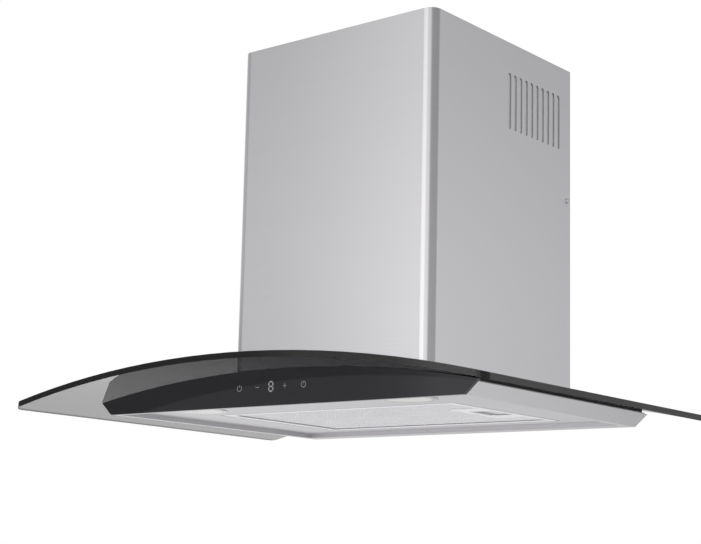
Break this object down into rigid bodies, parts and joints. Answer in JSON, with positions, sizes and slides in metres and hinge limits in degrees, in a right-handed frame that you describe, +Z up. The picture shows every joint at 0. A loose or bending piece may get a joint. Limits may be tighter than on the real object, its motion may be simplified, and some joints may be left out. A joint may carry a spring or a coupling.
{
  "type": "curved glass range hood",
  "caption": "Wall-mounted chimney range hood with an arched smoked-glass canopy, touch-control fascia, round lamps, mesh grease filter and slotted steel chimney.",
  "frame": {"origin": "centre of the four wall screws, on the wall plane", "axes": "+X to the viewer's right, +Y back into the wall, +Z up"},
  "size_m": [0.6, 0.43, 0.41],
  "materials": {
    "smoked_glass": "clear gloss",
    "brushed_steel": "brushed satin",
    "zinc_sheet": "galvanised",
    "black_gloss": "gloss",
    "seal_rubber": "matte",
    "mesh_aluminium": "satin",
    "latch_plastic": "satin",
    "lamp_trim": "polished",
    "lamp_lens": "frosted",
    "inner_plastic": "moulded",
    "board_green": "solder mask",
    "display_window": "gloss",
    "key_contact": "matte",
    "motor_paint": "semi-gloss",
    "motor_iron": "ground",
    "shaft_steel": "ground",
    "bush_bronze": "sintered",
    "fastener_steel": "plated",
    "capacitor_case": "moulded"
  },
  "bodies": {
    "root": {"glass_canopy": "smoked_glass", "glass_clamp": "zinc_sheet", "collar_seal": "seal_rubber", "glass_screws": "fastener_steel", "glass_nuts": "fastener_steel", "hood_body": "brushed_steel", "top_panel": "zinc_sheet", "glass_seal": "seal_rubber", "control_fascia": "black_gloss", "fascia_screws": "fastener_steel", "control_housing": "inner_plastic", "control_board": "board_green", "display_module": "display_window", "touch_contacts": "key_contact", "lamp_bezel_left": "lamp_trim", "lamp_bezel_right": "lamp_trim", "lamp_lens_left": "lamp_lens", "lamp_lens_right": "lamp_lens", "lamp_housing_left": "inner_plastic", "lamp_housing_right": "inner_plastic", "lamp_board_left": "board_green", "lamp_board_right": "board_green", "blower_box": "zinc_sheet", "wall_bracket": "zinc_sheet", "box_screws": "fastener_steel", "scroll_half_left": "inner_plastic", "scroll_half_right": "inner_plastic", "scroll_screws": "fastener_steel", "motor_body": "motor_paint", "motor_end_bell": "motor_paint", "motor_bushes": "bush_bronze", "motor_spider": "zinc_sheet", "motor_grommets": "seal_rubber", "motor_screws": "fastener_steel", "outlet_adapter": "inner_plastic", "outlet_screws": "fastener_steel", "damper_pin": "shaft_steel", "chimney_cover": "brushed_steel", "chimney_bracket": "zinc_sheet", "chimney_screws": "fastener_steel", "terminal_box": "inner_plastic", "terminal_box_lid": "inner_plastic", "lid_screws": "fastener_steel", "cable_gland": "inner_plastic", "capacitor": "capacitor_case"},
    "fan": {"impeller": "inner_plastic", "motor_shaft": "shaft_steel", "motor_rotor": "motor_iron"},
    "flap_front": {"damper_flap_front": "inner_plastic"},
    "flap_back": {"damper_flap_back": "inner_plastic"},
    "filter": {"filter_frame": "mesh_aluminium", "filter_mesh": "mesh_aluminium", "filter_latch_plate": "mesh_aluminium"},
    "latch": {"filter_latch": "latch_plastic"},
    "chimney_upper": {"chimney_extension": "brushed_steel", "ceiling_bracket": "zinc_sheet"}
  },
  "joints": [
    {"name": "fan_spin", "type": "hinge", "parent": "root", "child": "fan", "pos_m": [0, -0.122, -0.009], "axis": [-1, 0, 0], "continuous": true},
    {"name": "flap_front_swing", "type": "hinge", "parent": "root", "child": "flap_front", "pos_m": [0, -0.185, 0.155], "axis": [-1, 0, 0], "range_deg": [0, 75]},
    {"name": "flap_back_swing", "type": "hinge", "parent": "root", "child": "flap_back", "pos_m": [0, -0.185, 0.155], "axis": [1, 0, 0], "range_deg": [0, 75]},
    {"name": "filter_drop", "type": "hinge", "parent": "root", "child": "filter", "pos_m": [-0.153, -0.16, -0.139], "axis": [0, 1, 0], "range_deg": [0, 60]},
    {"name": "latch_slide", "type": "slide", "parent": "filter", "child": "latch", "axis": [-1, 0, 0], "range_m": [0, 0.006], "stiffness_N_per_m": 250, "springref_m": -0.002},
    {"name": "chimney_slide", "type": "slide", "parent": "root", "child": "chimney_upper", "axis": [0, 0, 1], "range_m": [0, 0.25]}
  ]
}
